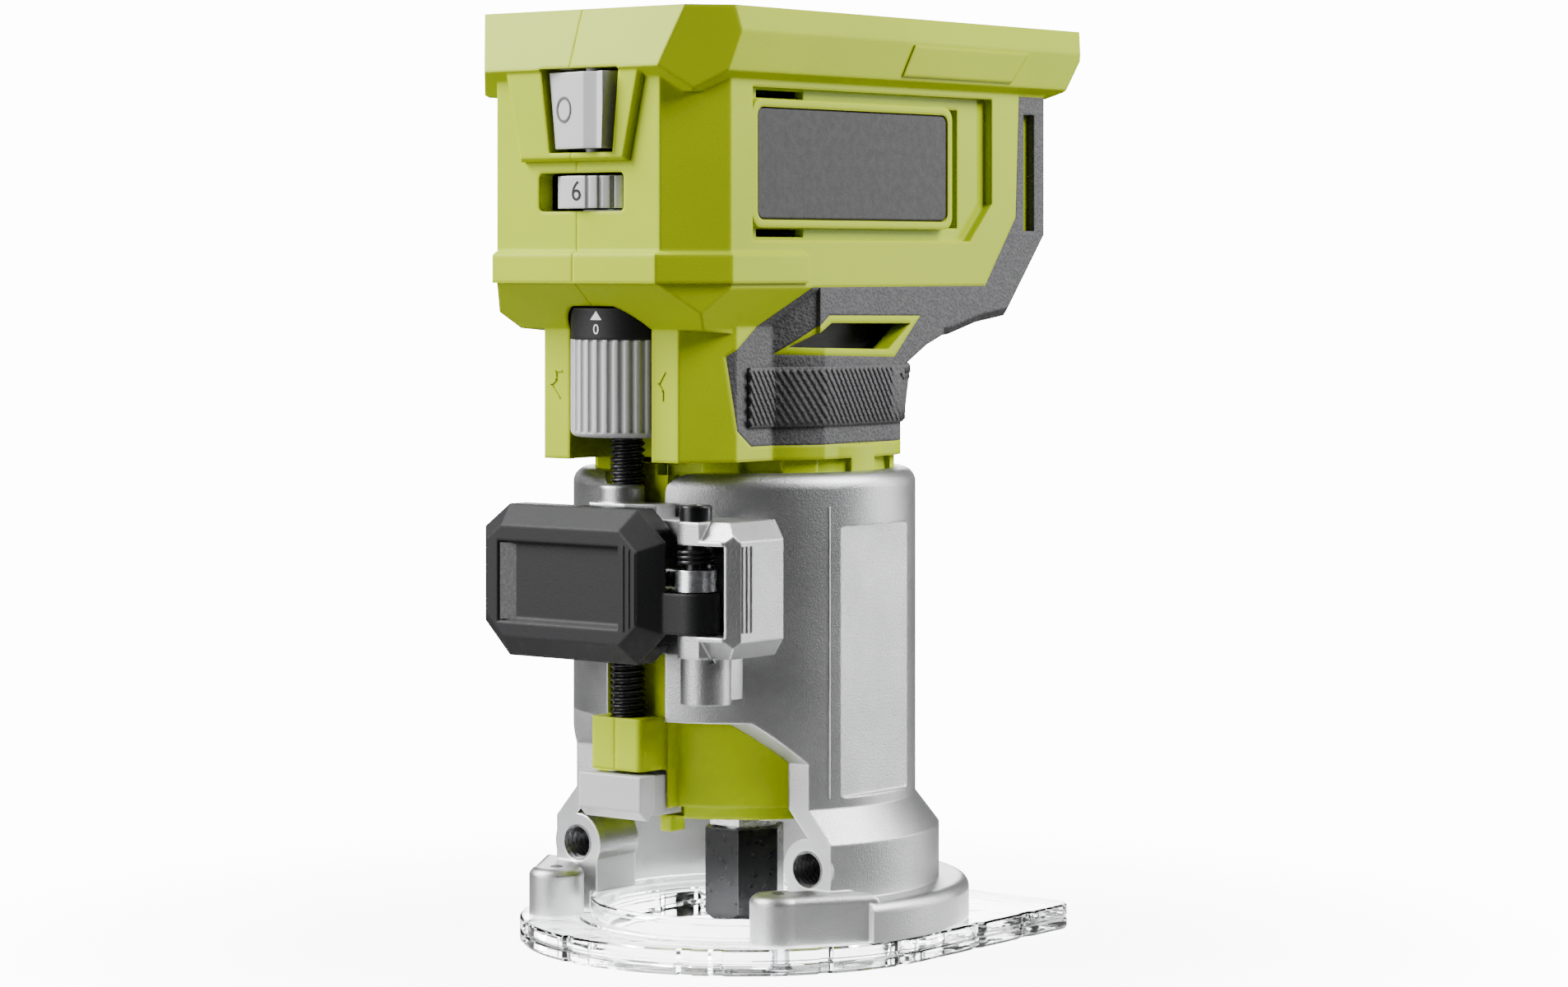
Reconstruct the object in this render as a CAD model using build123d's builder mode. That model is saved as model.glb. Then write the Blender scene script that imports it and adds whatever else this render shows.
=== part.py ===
"""Cordless trim router: a cast base with a clear sub-base, a motor unit that slides in it, a depth
screw, a cam lever clamp, and the motor, switch and battery socket inside.

Millimetres. The origin is the centre of the sub-base opening at its lower face. +Z is up, along the
spindle, the front (switch, depth knob, lever) is -Y and the right-hand side is +X.
"""

import os
from math import cos, radians, sin, sqrt

from build123d import *

os.makedirs("parts", exist_ok=True)

# ---------------------------------------------------------------- driving dimensions
# fits
running_gap = 0.08  # radial, round parts that turn or slide in each other
part_gap = 0.3  # between parts of different bodies that pass each other
seat_gap = 0.05  # between parts that are fixed to each other

# overall sizes
body_radius = 35.0  # sliding barrel of the motor unit
casting_top = 110.5
head_length = 135.2
head_half_width = 34.0
head_height = 61.0  # from the lower edge of the band to the top of the rim

# clear sub-base
plate_thickness = 6.0
opening_radius = 33.0
opening_lip = 4.5  # height of the full-size edge that centres a template guide
lip_relief = 0.8
collar_wall = 3.0
collar_height = 4.0
plate_screw_radius = 2.0
plate_screw_head = 3.8

# base casting, outwards from the barrel
casting_wall = 4.92
foot_step = 5.5
foot_wall = 5.0
flange_width = 7.0
flange_height = 9.0
toe_height = 11.0
toe_radius = 6.4
foot_height = 21.5
cone_height = 7.2
window_front = 20.0  # plane of the threaded ears, ahead of the spindle axis
window_height = 48.5
slit_half_width = 8.5
ear_height = 15.5
ear_radius = 6.9
ear_depth = 14.0
guide_thread_radius = 4.25  # tapping size of an M10 thread
recess_width = 26.0
recess_depth = 2.0
recess_top = 101.0
bore_radius = body_radius + running_gap
casting_radius = bore_radius + casting_wall
foot_radius = casting_radius + foot_step
foot_bore = foot_radius - foot_wall
plate_radius = foot_radius + flange_width
plate_back = plate_radius + 8.0
flange_top = plate_thickness + flange_height
foot_top = plate_thickness + foot_height
cone_top = foot_top + cone_height
window_top = plate_thickness + window_height
ear_z = plate_thickness + ear_height
ear_x = sqrt(casting_radius**2 - window_front**2) - 0.3
toe_x = foot_bore - 7.5
toe_y = casting_radius - 11.0

# depth screw, and the clamp in front of it
screw_radius = 4.0
screw_front = body_radius + 7.0
pin_front = screw_front + 8.0
pin_radius = 2.5
pin_x = 26.5
lug_cheek = 5.0
lug_top = casting_top - 9.5
lug_bottom = lug_top - 30.0
lug_side = casting_radius
lug_bevel = 4.0
left_lug_outer = 22.0
rod_z = lug_bottom + 17.0
rod_radius = 2.4

# lever
lever_left = -31.2
lever_right = pin_x - 4.3
lever_bottom = lug_bottom - 2.0
lever_top = lug_top + 2.4
lever_back = pin_front
lever_thickness = 10.0
lever_front = lever_back + lever_thickness
lever_wall = 2.6
lever_bevel = 4.6

# motor unit housing
housing_wall = 3.0
skin = 2.0  # rubber over the handle
barrel_bottom = 32.0
neck_bottom = casting_top + 3.0
neck_radius = body_radius + 1.5
neck_front = body_radius + 13.0
neck_half_width = 19.8
neck_side = 27.5
flare_front = 15.0  # the flanks of the head run straight down behind this plane
edge_break = 2.0
neck_top = neck_bottom + 29.5
head_front = neck_front + 11.4
head_back = head_length - head_front
band_bottom = neck_top + 10.4
band_top = band_bottom + 7.1
rim_top = band_bottom + head_height + 0.1
rim_bottom = rim_top - 15.0
head_deck = rim_top - 6.5

# depth knob and nut
knob_radius = 12.9
knob_length = 21.9
knob_bottom = neck_bottom + 5.3
knob_top = knob_bottom + knob_length
ring_height = 7.1
ring_top = knob_top + ring_height
flute_count = 32
nut_bottom = lug_top - 7.0
nut_top = nut_bottom + 10.0
block_top = window_top + 1.1
block_bottom = block_top - 11.8
screw_bottom = block_top - 8.6

# battery socket, in the deck of the head
socket_front = 4.0
socket_back = 50.0
socket_half_width = 16.0
socket_depth = 42.0
socket_floor = head_deck - socket_depth
socket_wall = 2.4

# side badge
badge_front = head_front - 21.9
badge_length = 71.5
badge_back = badge_length - badge_front
badge_bottom = band_bottom + 14.2
badge_top = badge_bottom + 25.0
badge_thickness = 1.6

# rocker switch, speed dial and spindle lock
button_bottom = band_bottom + 29.9
button_height = 17.0
button_top = button_bottom + button_height
rocker_x = 2.5
rocker_front = head_front - 2.4
rocker_pin = 1.5
dial_z = band_bottom + 20.3
dial_radius = 13.5
dial_height = 7.2
dial_x = 1.4
dial_centre = head_front - 12.4
lock_z = barrel_bottom + 6.0
lock_half_width = 9.0
lock_travel = 3.0
lock_front = body_radius + 13.4

# spindle and motor
shaft_radius = 6.0
upper_shaft_radius = 4.0
collet_bore = 3.175  # 6.35 mm shank
nut_across_flats = 17.0
collet_nut_bottom = 5.0
collet_nut_top = 26.5
lower_bearing_z = barrel_bottom + 11.0
bearing_radius = 14.0
bearing_height = 9.0
upper_bearing_z = neck_bottom + 12.5
upper_bearing_radius = 9.5
upper_bearing_height = 7.0
motor_bottom = lower_bearing_z + 23.0
motor_top = neck_bottom + 6.5


# ---------------------------------------------------------------- shared sketches
def front_plane(distance):
    """Plane that faces the front, a distance ahead of the spindle axis."""
    return Plane.XZ.offset(distance)


def side_outline(points):
    """Closed outline seen from the right, from (distance ahead of the axis, height) points."""
    return Polygon(*[(-ahead, height) for ahead, height in points], align=None)


def plan_outline(points):
    """Closed outline seen from above, from (half width, distance ahead) points of its right side."""
    right = [(half, -ahead) for half, ahead in points]
    left = [(-x, y) for x, y in reversed(right)]
    return Polygon(*right, *left, align=None)


def save(piece, label):
    piece.label = label
    export_step(piece, f"parts/{label}.step")


# ---------------------------------------------------------------- clear sub-base
plate_screw_places = [(toe_x, -toe_y), (-toe_x, -toe_y), (36.0, 30.0), (-36.0, 30.0)]

with BuildPart() as sub_base:
    with BuildSketch():
        Circle(plate_radius)
        with Locations((0, plate_back / 2)):
            Rectangle(2 * plate_radius, plate_back)
    extrude(amount=plate_thickness)
    edge = sub_base.edges().filter_by(GeomType.CIRCLE).sort_by(Axis.Z)
    chamfer(edge[0], 0.8)
    with BuildSketch(Plane.XY.offset(plate_thickness)):
        Circle(opening_radius + collar_wall)
    extrude(amount=collar_height)
    with BuildSketch():
        Circle(opening_radius)
    extrude(amount=opening_lip, mode=Mode.SUBTRACT)
    with BuildSketch(Plane.XY.offset(opening_lip)):
        Circle(opening_radius + lip_relief)
    extrude(amount=plate_thickness + collar_height - opening_lip, mode=Mode.SUBTRACT)
    with Locations(Plane.XY.rotated((180, 0, 0))):
        with Locations([(x, -y) for x, y in plate_screw_places]):
            CounterSinkHole(plate_screw_radius + 0.2, plate_screw_head, plate_thickness)
save(sub_base.part, "sub_base")


# ---------------------------------------------------------------- base casting
# C-shaped flange, and the two toes that it ends in
with BuildPart() as flange:
    with BuildSketch(Plane.XY.offset(plate_thickness)):
        Circle(plate_radius)
        Circle(foot_bore, mode=Mode.SUBTRACT)
        with Locations((0, -window_front + 4 - 40)):
            Rectangle(120, 80, mode=Mode.SUBTRACT)
    extrude(amount=flange_height)
    fillet(flange.edges().group_by(Axis.Z)[-1].filter_by(GeomType.CIRCLE).sort_by(SortBy.RADIUS)[-1], 2.5)

with BuildPart() as toes:
    toe_start = window_front - 6
    with BuildSketch(Plane.XY.offset(plate_thickness)):
        for side in (-1, 1):
            Polygon(
                (side * sqrt(foot_bore**2 - toe_start**2), -toe_start),
                (side * (sqrt(plate_radius**2 - toe_start**2) - 0.6), -toe_start),
                (side * (toe_x + toe_radius - 0.4), -toe_y - 2),
                (side * (toe_x - toe_radius + 0.4), -toe_y - 2),
                align=None,
            )
        with Locations((toe_x, -toe_y), (-toe_x, -toe_y)):
            Circle(toe_radius)
    extrude(amount=toe_height)
    fillet(toes.edges().group_by(Axis.Z)[-1], 2.0)

with BuildPart() as base_casting:
    # tube, cone and foot
    with BuildSketch(Plane.XZ):
        with BuildLine():
            Polyline(
                (bore_radius, casting_top),
                (casting_radius, casting_top),
                (casting_radius, cone_top),
                (foot_radius, foot_top),
                (foot_radius, plate_thickness),
                (foot_bore, plate_thickness),
                (foot_bore, foot_top),
                (bore_radius, cone_top),
                close=True,
            )
        make_face()
    revolve(axis=Axis.Z)
    rims = base_casting.edges().filter_by(GeomType.CIRCLE).group_by(Axis.Z)[-1]
    fillet(rims.sort_by(SortBy.RADIUS)[-1], 3.5)
    # front window over the ears, and the slit above it
    with BuildSketch(Plane.YZ):
        side_outline([
            (window_front, flange_top),
            (window_front, window_top - 9.5),
            (window_front + 10, window_top),
            (70, window_top),
            (70, flange_top),
        ])
    extrude(amount=60, both=True, mode=Mode.SUBTRACT)
    with BuildSketch(front_plane(0)):
        with BuildLine():
            bottom_left = (-slit_half_width, window_top - 4)
            shoulder = casting_top - 5
            Line(bottom_left, (-slit_half_width, shoulder))
            ThreePointArc(
                (-slit_half_width, shoulder),
                (-slit_half_width - 5 * (1 - cos(radians(45))), shoulder + 5 * sin(radians(45))),
                (-slit_half_width - 5, casting_top),
            )
            Polyline(
                (-slit_half_width - 5, casting_top),
                (-slit_half_width - 5, casting_top + 1),
                (slit_half_width + 5, casting_top + 1),
                (slit_half_width + 5, casting_top),
            )
            ThreePointArc(
                (slit_half_width + 5, casting_top),
                (slit_half_width + 5 * (1 - cos(radians(45))), shoulder + 5 * sin(radians(45))),
                (slit_half_width, shoulder),
            )
            Line((slit_half_width, shoulder), (slit_half_width, window_top - 4))
            Line((slit_half_width, window_top - 4), bottom_left)
        make_face()
    extrude(amount=60, mode=Mode.SUBTRACT)
    # the foot is open at the front, between the ears
    with BuildSketch(Plane.XY.offset(plate_thickness)):
        with Locations((0, -40)):
            Rectangle(120, 80 - 2 * 10)
        with Locations((0, -window_front - 30)):
            Rectangle(120, 60)
    extrude(amount=flange_height, mode=Mode.SUBTRACT)
    # threaded ears
    with BuildSketch(front_plane(window_front - ear_depth)):
        with Locations((ear_x, ear_z), (-ear_x, ear_z)):
            Circle(ear_radius)
        with Locations((ear_x, (ear_z + plate_thickness) / 2), (-ear_x, (ear_z + plate_thickness) / 2)):
            Rectangle(2 * ear_radius - 2, ear_z - plate_thickness)
    extrude(amount=ear_depth)
    add(flange.part)
    add(toes.part)
    # trimmed flat recesses on both sides of the tube
    for turn in (-1, 1):
        with BuildSketch(Plane.XZ.rotated((0, 0, 90 if turn > 0 else -90)).offset(casting_radius - recess_depth)):
            with Locations((0, (cone_top + recess_top) / 2)):
                RectangleRounded(recess_width, recess_top - cone_top - 5, 2)
        extrude(amount=5, mode=Mode.SUBTRACT)
    # clamp lugs: the right one carries the lever pin, the left one the end of the tie rod
    with BuildSketch(Plane.XY.offset(lug_bottom)):
        with BuildLine():
            Polyline((12, -casting_radius + 3), (12, -pin_front + 3), (pin_x - 4, -pin_front))
            ThreePointArc(
                (pin_x - 4, -pin_front),
                (pin_x - 4 * cos(radians(45)), -pin_front - 4 * sin(radians(45))),
                (pin_x, -pin_front - 4),
            )
            Polyline(
                (pin_x, -pin_front - 4),
                (lug_side - 3.5, -pin_front - 3.4),
                (lug_side, -pin_front - 1),
                (lug_side, -pin_front + 14),
                (lug_side - 4, -pin_front + 16),
                (casting_radius * cos(radians(60)), -casting_radius * sin(radians(60))),
                (12, -casting_radius + 3),
            )
        make_face()
        Circle(bore_radius + 1, mode=Mode.SUBTRACT)
    extrude(amount=lug_top - lug_bottom)
    with BuildSketch(Plane.XY.offset(lug_bottom + 5)):
        Polygon(
            (-11, -casting_radius + 3), (-11, -pin_front - 3.5), (-left_lug_outer, -pin_front - 3.5),
            (-left_lug_outer, -pin_front + 8), (-left_lug_outer - 8, -casting_radius + 14),
            (-20, -casting_radius + 9), align=None,
        )
        Circle(bore_radius + 1, mode=Mode.SUBTRACT)
    extrude(amount=lug_top - lug_bottom - 9)
    # boss and gusset under the right lug
    with BuildSketch(Plane.XY.offset(lug_bottom - 10.5)):
        with Locations((pin_x, -pin_front + 3.5)):
            Circle(5.6)
        with Locations((pin_x - 3, -pin_front + 10)):
            Rectangle(5, 14)
        Circle(bore_radius + 1, mode=Mode.SUBTRACT)
    extrude(amount=10.5)
    # bevels along the outer edges of the right lug
    with BuildSketch(Plane.YZ.offset(pin_x + lug_bevel)):
        for face, side in ((lug_top, 1), (lug_bottom, -1)):
            Polygon(
                (-pin_front - 6, face - side * lug_bevel), (-pin_front - 6, face + side),
                (-pin_front + 1, face + side), (-pin_front - 3, face - side * lug_bevel), align=None,
            )
    extrude(amount=20, mode=Mode.SUBTRACT)
    with BuildSketch(front_plane(pin_front - 16.5)):
        for face, side in ((lug_top, 1), (lug_bottom, -1)):
            Polygon(
                (lug_side - lug_bevel, face), (lug_side - lug_bevel, face + side),
                (lug_side + 1, face + side), (lug_side + 1, face - side * (lug_bevel + 1)), align=None,
            )
    extrude(amount=24, mode=Mode.SUBTRACT)
    # clevis slot, pin hole, tie rod hole and ear threads
    with BuildSketch(Plane.XY.offset(lug_bottom + lug_cheek)):
        Polygon(
            (5, -pin_front - 10), (lug_side - 3, -pin_front - 10), (lug_side - 3, -pin_front + 6.5),
            (5, -pin_front + 6.5), align=None,
        )
    extrude(amount=lug_top - lug_bottom - 2 * lug_cheek, mode=Mode.SUBTRACT)
    with Locations((pin_x, -pin_front, lug_top)):
        Hole(pin_radius, depth=lug_top - lug_bottom)
    with BuildSketch(Plane.YZ.offset(-left_lug_outer - 10)):
        with Locations((-pin_front, rod_z)):
            Circle(rod_radius + 0.3)
    extrude(amount=30, mode=Mode.SUBTRACT)
    with BuildSketch(front_plane(window_front)):
        with Locations((ear_x, ear_z), (-ear_x, ear_z)):
            Circle(guide_thread_radius)
    extrude(amount=-ear_depth, mode=Mode.SUBTRACT)
    # room for the collar of the sub-base
    with BuildSketch(Plane.XY.offset(plate_thickness)):
        Circle(opening_radius + collar_wall + part_gap)
    extrude(amount=collar_height + part_gap, mode=Mode.SUBTRACT)
    # screw holes from below
    with BuildSketch(Plane.XY.offset(plate_thickness)):
        with Locations(plate_screw_places):
            Circle(plate_screw_radius)
    extrude(amount=flange_height - 1, mode=Mode.SUBTRACT)
    # keep the bore true
    with BuildSketch(Plane.XY.offset(cone_top)):
        Circle(bore_radius)
    extrude(amount=casting_top, mode=Mode.SUBTRACT)
save(base_casting.part, "base_casting")


# ---------------------------------------------------------------- fasteners of the sub-base
with BuildPart() as sub_base_screws:
    with BuildSketch(Plane.XZ) as screw_half:
        sink = plate_screw_head - plate_screw_radius
        Polygon(
            (0, 0.6), (plate_screw_head - 0.7, 0.6), (plate_screw_radius - seat_gap, sink + 0.3),
            (plate_screw_radius - seat_gap, flange_top - 3), (0, flange_top - 3), align=None,
        )
    one_screw = revolve(screw_half.sketch, axis=Axis.Z, mode=Mode.PRIVATE)
    for x, y in plate_screw_places:
        add(Pos(x, y, 0) * one_screw)
save(sub_base_screws.part, "sub_base_screws")


# ---------------------------------------------------------------- clamp pin, tie rod, nut and spring
with BuildPart() as lever_pin:
    with BuildSketch(Plane.XY.offset(lug_bottom + 0.5)):
        with Locations((pin_x, -pin_front)):
            Circle(pin_radius - seat_gap)
    extrude(amount=lug_top - lug_bottom - 0.5)
    with BuildSketch(Plane.XY.offset(lug_top)):
        with Locations((pin_x, -pin_front)):
            Circle(3.6)
    extrude(amount=3.6)
    fillet(lever_pin.edges().group_by(Axis.Z)[-1], 0.5)
    with BuildSketch(Plane.XY.offset(lug_top + 1.6)):
        with Locations((pin_x, -pin_front)):
            RegularPolygon(1.7, 6)
    extrude(amount=3, mode=Mode.SUBTRACT)
save(lever_pin.part, "lever_pin")

rod_end = -left_lug_outer - 3.0
with BuildPart() as tie_rod:
    with BuildSketch(Plane.YZ.offset(rod_end)):
        with Locations((-pin_front, rod_z)):
            Circle(rod_radius)
    extrude(amount=pin_x - rod_end)
    with BuildSketch(Plane.XY.offset(rod_z - rod_radius)):
        with Locations((pin_x, -pin_front)):
            Circle(4.6)
    extrude(amount=2 * rod_radius)
    with BuildSketch(Plane.XY.offset(rod_z - rod_radius)):
        with Locations((pin_x, -pin_front)):
            Circle(pin_radius + running_gap)
    extrude(amount=2 * rod_radius, mode=Mode.SUBTRACT)
save(tie_rod.part, "tie_rod")

with BuildPart() as tie_rod_nut:
    with BuildSketch(Plane.YZ.offset(-left_lug_outer - 3.2)):
        with Locations((-pin_front, rod_z)):
            RegularPolygon(4, 6, major_radius=False)
            Circle(rod_radius + seat_gap, mode=Mode.SUBTRACT)
    extrude(amount=3.0)
save(tie_rod_nut.part, "tie_rod_nut")

spring_wire = 0.45
spring_low = rod_z + rod_radius + 0.9
with BuildPart() as lever_spring:
    with BuildLine():
        Helix(1.1, 3.3, pin_radius + 1.3, center=(pin_x, -pin_front, spring_low))
    with BuildSketch(Plane.XZ.offset(pin_front)):
        with Locations((pin_x + pin_radius + 1.3, spring_low)):
            Circle(spring_wire)
    sweep(is_frenet=True)
save(lever_spring.part, "lever_spring")


# ---------------------------------------------------------------- lever
knuckle_top = rod_z - rod_radius - 0.3
knuckle_bottom = lug_bottom + lug_cheek + part_gap

with BuildPart() as clamp_lever:
    with BuildSketch(front_plane(lever_back)):
        Polygon(
            (lever_left, lever_bottom + 7.5), (lever_left, lever_top - 5.4),
            (lever_left + 7.5, lever_top), (lever_right - 8, lever_top),
            (lever_right, lever_top - 7), (lever_right, lever_bottom + 7),
            (lever_right - 8, lever_bottom), (lever_left + 7.5, lever_bottom), align=None,
        )
    extrude(amount=lever_front - lever_back)
    chamfer(clamp_lever.faces().sort_by(Axis.Y)[0].edges(), lever_bevel)
    # finger recess in the front
    with BuildSketch(front_plane(lever_front)):
        with Locations(((lever_left + lever_right) / 2 - 1, (lever_bottom + lever_top) / 2)):
            Rectangle(36, 18.5)
    extrude(amount=-1.4, mode=Mode.SUBTRACT, taper=35)
    # open back
    with BuildSketch(front_plane(lever_back)):
        Polygon(
            (lever_left + lever_wall, lever_bottom + 8), (lever_left + lever_wall, lever_top - 6.5),
            (lever_left + 8, lever_top - lever_wall), (lever_right - 8, lever_top - lever_wall),
            (lever_right + 1, lever_top - 6), (lever_right + 1, lever_bottom + 6),
            (lever_right - 8, lever_bottom + lever_wall), (lever_left + 8, lever_bottom + lever_wall),
            align=None,
        )
    extrude(amount=5.2, mode=Mode.SUBTRACT)
    # arm and knuckle on the pin
    with BuildSketch(Plane.XY.offset(knuckle_bottom)):
        with Locations((pin_x, -pin_front)):
            Circle(5.2)
        Polygon(
            (pin_x, -pin_front - 5.2), (lever_right - 6, -lever_back - 6.5),
            (lever_right - 6, -lever_back - 3.4), (pin_x, -pin_front), align=None,
        )
    extrude(amount=knuckle_top - knuckle_bottom)
    with BuildSketch(Plane.XY.offset(knuckle_bottom)):
        with Locations((pin_x, -pin_front)):
            Circle(pin_radius + running_gap)
    extrude(amount=knuckle_top - knuckle_bottom, mode=Mode.SUBTRACT)
save(clamp_lever.part, "clamp_lever")


# ---------------------------------------------------------------- depth nut, screw, knob and ring
with BuildPart() as depth_nut:
    with BuildSketch(Plane.XY.offset(nut_bottom)):
        Polygon(
            (-6.5, -screw_front + 2.4), (12 - seat_gap, -screw_front + 2.4),
            (12 - seat_gap, -screw_front - 4),
            (5, -lever_back + 0.6),
            (-5, -lever_back + 0.6), (-6.5, -48), align=None,
        )
    extrude(amount=nut_top - nut_bottom)
    with BuildSketch(Plane.XY.offset(nut_top)):
        with Locations((0, -screw_front - 2)):
            Circle(5.2)
    extrude(amount=4)
    fillet(depth_nut.edges().group_by(Axis.Z)[-1], 0.8)
    with BuildSketch(Plane.XY.offset(nut_bottom)):
        with Locations((0, -screw_front)):
            Circle(screw_radius + running_gap)
    extrude(amount=nut_top - nut_bottom + 5, mode=Mode.SUBTRACT)
save(depth_nut.part, "depth_nut")

with BuildPart() as depth_screw:
    with BuildSketch(Plane.XY.offset(screw_bottom)):
        with Locations((0, -screw_front)):
            Circle(screw_radius)
    extrude(amount=knob_bottom - screw_bottom + 8)
    chamfer(depth_screw.edges().group_by(Axis.Z)[0], 0.8)
    with BuildSketch(Plane.XY.offset(knob_bottom + 8)):
        with Locations((0, -screw_front)):
            Circle(screw_radius - 1)
    extrude(amount=ring_top - knob_bottom - 8 - 1)
save(depth_screw.part, "depth_screw")

with BuildPart() as depth_knob:
    with BuildSketch(Plane.XY.offset(knob_bottom)):
        with Locations((0, -screw_front)):
            Circle(knob_radius)
    extrude(amount=knob_top - knob_bottom)
    fillet(depth_knob.edges().group_by(Axis.Z)[0], 1.6)
    with BuildSketch(Plane.XY.offset(knob_bottom + 1.2)):
        with Locations((0, -screw_front)):
            with PolarLocations(knob_radius + 0.2, flute_count):
                Circle(0.8)
    extrude(amount=knob_top - knob_bottom, mode=Mode.SUBTRACT)
    with BuildSketch(Plane.XY.offset(knob_bottom - 1)):
        with Locations((0, -screw_front)):
            Circle(screw_radius + seat_gap)
    extrude(amount=9, mode=Mode.SUBTRACT)
    with BuildSketch(Plane.XY.offset(knob_bottom + 7)):
        with Locations((0, -screw_front)):
            Circle(screw_radius - 1 + seat_gap)
    extrude(amount=30, mode=Mode.SUBTRACT)
save(depth_knob.part, "depth_knob")

with BuildPart() as scale_ring:
    with BuildSketch(Plane.XY.offset(knob_top + 0.1)):
        with Locations((0, -screw_front)):
            Circle(knob_radius)
            Circle(screw_radius - 1 + running_gap, mode=Mode.SUBTRACT)
    extrude(amount=ring_top - knob_top - 0.1)
save(scale_ring.part, "scale_ring")


# ---------------------------------------------------------------- motor unit: outer form
def handle_form(inset, corner=0):
    """Head and neck as one solid. A positive inset draws every face in by that much."""
    half_width = head_half_width - inset
    with BuildPart() as form:
        for plane, amount, taper in (
            (Plane.YZ, half_width - corner, 0),
            (Plane.YZ.offset(half_width - corner), corner, 45),
            (Plane.YZ.offset(corner - half_width), -corner, 45),
        ):
            if amount:
                with BuildSketch(plane):
                    side_outline([
                        (head_front, head_deck), (head_front, band_top), (head_front + 0.6, band_bottom),
                        (neck_front, neck_top), (0, neck_top - 4), (-neck_radius, neck_top - 2),
                        (-head_back + 27.8, neck_top + 0.8), (-head_back + 16.1, neck_top + 2.3),
                        (-head_back, neck_top + 21), (-head_back, head_deck),
                    ])
                    offset(amount=-inset, kind=Kind.INTERSECTION)
                extrude(amount=amount, both=taper == 0, taper=taper)
        with BuildSketch():
            plan_outline([
                (head_half_width - 10.5, head_front + 0.6), (head_half_width, head_front - 12.4),
                (head_half_width, -head_back + 2), (head_half_width - 2, -head_back),
            ])
            offset(amount=-inset, kind=Kind.INTERSECTION)
        extrude(amount=300, mode=Mode.INTERSECT)
        with BuildPart(mode=Mode.INTERSECT):
            with BuildSketch(front_plane(flare_front)):
                Polygon(
                    (-head_half_width, head_deck + 9), (-head_half_width, band_bottom - 1),
                    (-neck_side + 0.5, neck_top), (-neck_side + 3.5, neck_bottom),
                    (neck_side - 3.5, neck_bottom), (neck_side - 0.5, neck_top),
                    (head_half_width, band_bottom - 1), (head_half_width, head_deck + 9), align=None,
                )
                offset(amount=-inset, kind=Kind.INTERSECTION)
            extrude(amount=100)
            with BuildSketch(front_plane(flare_front)):
                with Locations((0, head_deck)):
                    Rectangle(2 * half_width, 300)
            extrude(amount=-150)
    # round neck with flat flanks, and the flare from its back to the underside of the head
    with BuildPart() as neck:
        with BuildSketch(Plane.XZ):
            Polygon(
                (inset + 6, neck_top - 16), (neck_radius, neck_top - 16),
                (neck_radius + 1.5, neck_top - 8.4),
                (neck_radius + 6.1, neck_top - 4.2), (neck_radius + 10.5, neck_top - 1.8),
                (neck_radius + 10.5, band_bottom - 1), (inset + 6, band_bottom - 1), align=None,
            )
            offset(amount=-inset, kind=Kind.INTERSECTION)
        revolve(axis=Axis.Z)
        with BuildSketch():
            with Locations((0, 100 - inset)):
                Rectangle(2 * half_width, 200)
        extrude(amount=300, mode=Mode.INTERSECT)
        with BuildSketch(Plane.XY.offset(neck_bottom + inset)):
            Circle(neck_radius)
            Rectangle(2 * head_half_width, 200, mode=Mode.INTERSECT)
            plan_outline([(neck_half_width, neck_front), (neck_side, neck_front - 11), (neck_side, 0)])
            offset(amount=-inset, kind=Kind.INTERSECTION)
        extrude(amount=band_bottom - 1 - neck_bottom - inset)
    return form.part + neck.part


def grip_region():
    """Stretch of the handle that carries rubber, seen from the side."""
    with BuildPart() as region:
        with BuildSketch(Plane.YZ):
            side_outline([
                (-head_back + 12.6, rim_bottom - 1.5), (-head_back + 14, band_bottom + 15.4),
                (-head_back + 26.6, band_bottom - 0.9), (17.7, band_bottom - 1), (39, neck_top - 6),
                (36.8, neck_bottom + 6.9), (31.8, neck_bottom + 3.3), (-50, neck_bottom + 3.3),
                (-head_back - 5.5, neck_top - 3), (-head_back - 5.5, rim_bottom - 1.5),
            ])
        extrude(amount=60, both=True)
    return region.part


# rim round the battery deck, and the band round the lower edge of the head
with BuildPart() as rim:
    with BuildSketch(Plane.YZ):
        side_outline([
            (head_front - 4, rim_bottom - 4), (head_front + 2.6, rim_bottom + 1.5),
            (head_front - 2, rim_top),
            (-head_back - 9.5, rim_top), (-head_back - 10.5, rim_top - 3), (-head_back - 4.5, rim_bottom),
            (-head_back + 6, rim_bottom - 4),
        ])
    extrude(amount=60, both=True)
    with BuildSketch():
        plan_outline([
            (head_half_width - 8.5, head_front + 2.6), (head_half_width + 4, head_front - 11.4),
            (head_half_width + 4, -head_back - 8), (head_half_width + 1.5, -head_back - 10.5),
        ])
    extrude(amount=300, mode=Mode.INTERSECT)
    with BuildSketch(front_plane(0)):
        Polygon(
            (-head_half_width + 4, rim_bottom - 4), (-head_half_width - 2, rim_bottom + 0.6),
            (-head_half_width - 4, rim_top - 5.5), (-head_half_width - 3, rim_top),
            (head_half_width + 3, rim_top), (head_half_width + 4, rim_top - 5.5),
            (head_half_width + 2, rim_bottom + 0.6), (head_half_width - 4, rim_bottom - 4), align=None,
        )
    extrude(amount=200, both=True, mode=Mode.INTERSECT)
    # tray that the battery stands in
    with BuildSketch(Plane.XY.offset(head_deck)):
        plan_outline([
            (head_half_width - 12, head_front - 6.4), (head_half_width - 1.5, head_front - 16.4),
            (head_half_width - 1.5, -head_back - 3), (head_half_width - 4, -head_back - 5.5),
        ])
    extrude(amount=20, mode=Mode.SUBTRACT)

with BuildPart() as band:
    with BuildSketch(Plane.XY.offset(band_bottom)):
        plan_outline([
            (head_half_width - 10, head_front + 1.6), (head_half_width + 0.8, head_front - 12.1),
            (head_half_width + 0.8, 20), (head_half_width - 6, 20),
        ])
    extrude(amount=band_top - band_bottom)
    chamfer(band.edges().group_by(Axis.Z)[-1], 0.8)

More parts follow.
